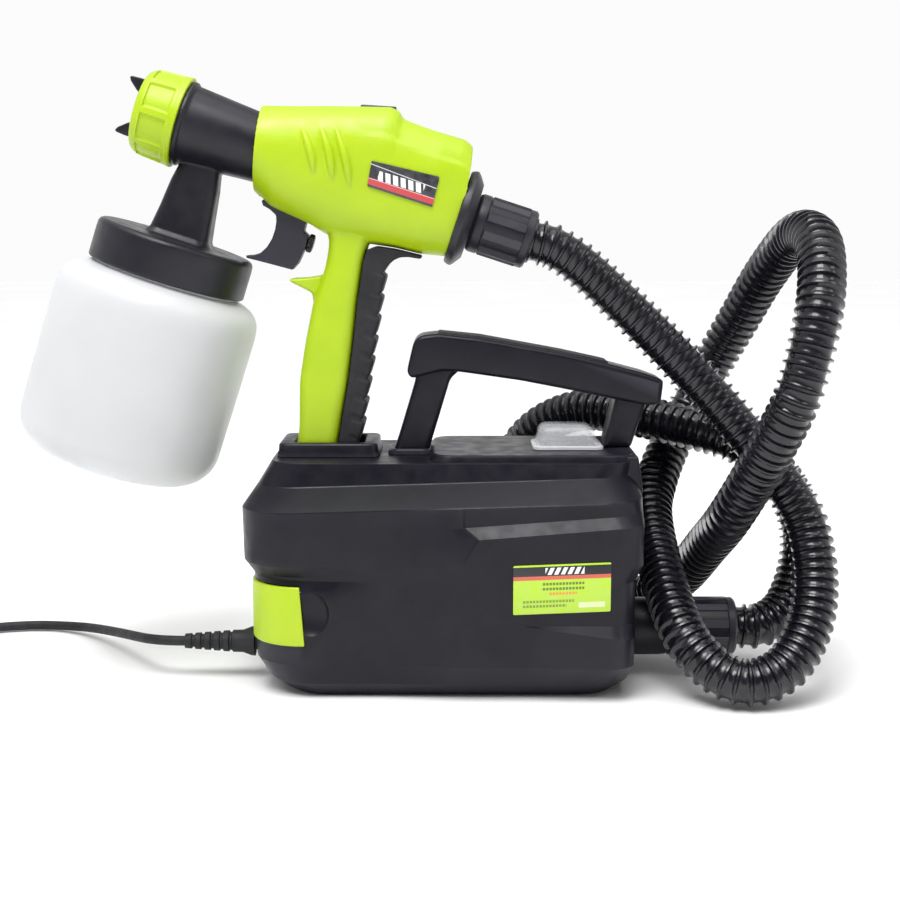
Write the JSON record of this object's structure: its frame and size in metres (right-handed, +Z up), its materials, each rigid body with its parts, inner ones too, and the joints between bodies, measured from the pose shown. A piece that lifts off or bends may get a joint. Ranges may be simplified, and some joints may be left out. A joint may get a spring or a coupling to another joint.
{
  "type": "turbine paint sprayer",
  "caption": "Turbine paint sprayer: blower base with carry handle, docked cup gun with trigger and air cap, corrugated air hose, mains cord with plug.",
  "frame": {"origin": "middle of the underside of the blower base", "axes": "+Z up, -X towards the nozzle and the cord, -Y the side with the label, +X the air outlet"},
  "size_m": [0.5683, 0.2265, 0.3308],
  "materials": {
    "charcoal_shell": "fine spark-eroded texture",
    "black_plastic": "satin moulded",
    "black_rubber": "matt elastomer",
    "lime_plastic": "satin gloss moulded",
    "milky_plastic": "translucent milky, smooth",
    "clear_plastic": "clear moulded",
    "steel": "machined",
    "lamination_steel": "stacked laminations",
    "brass": "machined",
    "winding_copper": "enamelled winding",
    "filter_foam": "open-cell foam",
    "printed_label": "printed vinyl",
    "white_plastic": "satin moulded",
    "hose_plastic": "glossy corrugated polyethylene"
  },
  "bodies": {
    "base": {"base_front_shell": "charcoal_shell", "base_rear_shell": "charcoal_shell", "carry_handle": "charcoal_shell", "handle_grip_pad": "black_rubber", "gun_dock": "charcoal_shell", "base_label": "printed_label", "foot_front_left": "black_rubber", "foot_front_right": "black_rubber", "foot_rear_left": "black_rubber", "foot_rear_right": "black_rubber", "shell_screw_1": "steel", "shell_screw_2": "steel", "shell_screw_3": "steel", "shell_screw_4": "steel", "switch_bezel": "clear_plastic", "switch_boot": "clear_plastic", "switch_housing": "black_plastic", "filter_foam": "filter_foam", "outlet_socket": "charcoal_shell", "fan_cover": "black_plastic", "fan_backplate": "black_plastic", "motor_stator": "lamination_steel", "motor_mount_fan_end": "black_rubber", "motor_mount_brush_end": "black_rubber", "motor_bearing_fan_end": "steel", "motor_bearing_brush_end": "steel", "brush_holder_upper": "brass", "brush_holder_lower": "brass", "terminal_block": "white_plastic", "cord_gland": "black_rubber", "power_cord": "black_rubber", "power_cord_coil": "black_rubber", "power_cord_tail": "black_rubber", "mains_plug": "black_rubber", "air_hose": "hose_plastic"},
    "rotor": {"motor_rotor": "winding_copper", "impeller": "steel"},
    "rocker": {"switch_rocker": "black_plastic"},
    "filter_door": {"filter_cover": "lime_plastic"},
    "outlet_swivel": {"outlet_cuff": "black_plastic"},
    "gun": {"gun_shell_left": "lime_plastic", "gun_shell_right": "lime_plastic", "grip_insert": "black_rubber", "spray_head": "black_plastic", "rear_collar": "black_plastic", "fluid_nozzle": "brass", "needle_packing": "white_plastic", "pickup_tube": "white_plastic", "gun_badge": "printed_label", "trigger_pin": "steel", "trigger_spring": "steel", "cup_seal": "black_rubber"},
    "trigger_lever": {"trigger": "black_plastic"},
    "flow_adjuster": {"flow_knob": "black_plastic"},
    "needle_rod": {"needle": "steel"},
    "cap": {"air_cap": "black_plastic"},
    "cap_ring": {"air_cap_nut": "lime_plastic"},
    "cup": {"paint_cup": "milky_plastic"},
    "latch_button": {"release_button": "black_plastic"},
    "gun_swivel": {"gun_cuff": "black_plastic"}
  },
  "joints": [
    {"name": "gun_lift", "type": "slide", "parent": "base", "child": "gun", "axis": [0.1564, 0, 0.9877], "range_m": [0, 0.045]},
    {"name": "trigger_pull", "type": "hinge", "parent": "gun", "child": "trigger_lever", "pos_m": [-0.07243, 0, 0.29364], "axis": [0, -1, 0], "range_deg": [0, 6], "stiffness_Nm_per_rad": 0.8, "springref_deg": -5.73},
    {"name": "flow_adjust", "type": "hinge", "parent": "trigger_lever", "child": "flow_adjuster", "pos_m": [-0.07271, 0, 0.23905], "axis": [0.9511, 0, -0.309], "range_deg": [-180, 180]},
    {"name": "needle_slide", "type": "slide", "parent": "gun", "child": "needle_rod", "axis": [0.9511, 0, -0.309], "range_m": [0, 0.0015]},
    {"name": "air_cap_turn", "type": "hinge", "parent": "gun", "child": "cap", "pos_m": [-0.137, 0, 0.302], "axis": [0.9511, 0, -0.309], "range_deg": [0, 90]},
    {"name": "cap_ring_turn", "type": "hinge", "parent": "gun", "child": "cap_ring", "pos_m": [-0.137, 0, 0.302], "axis": [0.9511, 0, -0.309], "range_deg": [-90, 90]},
    {"name": "cup_turn", "type": "hinge", "parent": "gun", "child": "cup", "pos_m": [-0.12511, 0, 0.29814], "axis": [0.309, 0, 0.9511], "range_deg": [-90, 90]},
    {"name": "latch_press", "type": "slide", "parent": "gun", "child": "latch_button", "axis": [-0.309, 0, -0.9511], "range_m": [0, 0.002], "stiffness_N_per_m": 400, "springref_m": -0.001},
    {"name": "gun_hose_swivel", "type": "hinge", "parent": "gun", "child": "gun_swivel", "pos_m": [0.01708, 0, 0.25036], "axis": [0.9511, 0, -0.309], "range_deg": [-90, 90]},
    {"name": "outlet_hose_swivel", "type": "hinge", "parent": "base", "child": "outlet_swivel", "pos_m": [0.1245, -0.008, 0.0265], "axis": [1, 0, 0], "range_deg": [-90, 90]},
    {"name": "power_switch", "type": "hinge", "parent": "base", "child": "rocker", "pos_m": [0.069, -0.004, 0.1245], "axis": [0, 1, 0], "range_deg": [0, 12]},
    {"name": "filter_cover_pull", "type": "slide", "parent": "base", "child": "filter_door", "axis": [-1, 0, 0], "range_m": [0, 0.03]},
    {"name": "blower_spin", "type": "hinge", "parent": "base", "child": "rotor", "pos_m": [0.026, 0, 0.062], "axis": [1, 0, 0], "continuous": true}
  ],
  "couplings": [
    {"joint": "needle_slide", "follows": "trigger_pull", "m_per_rad": 0.012}
  ]
}
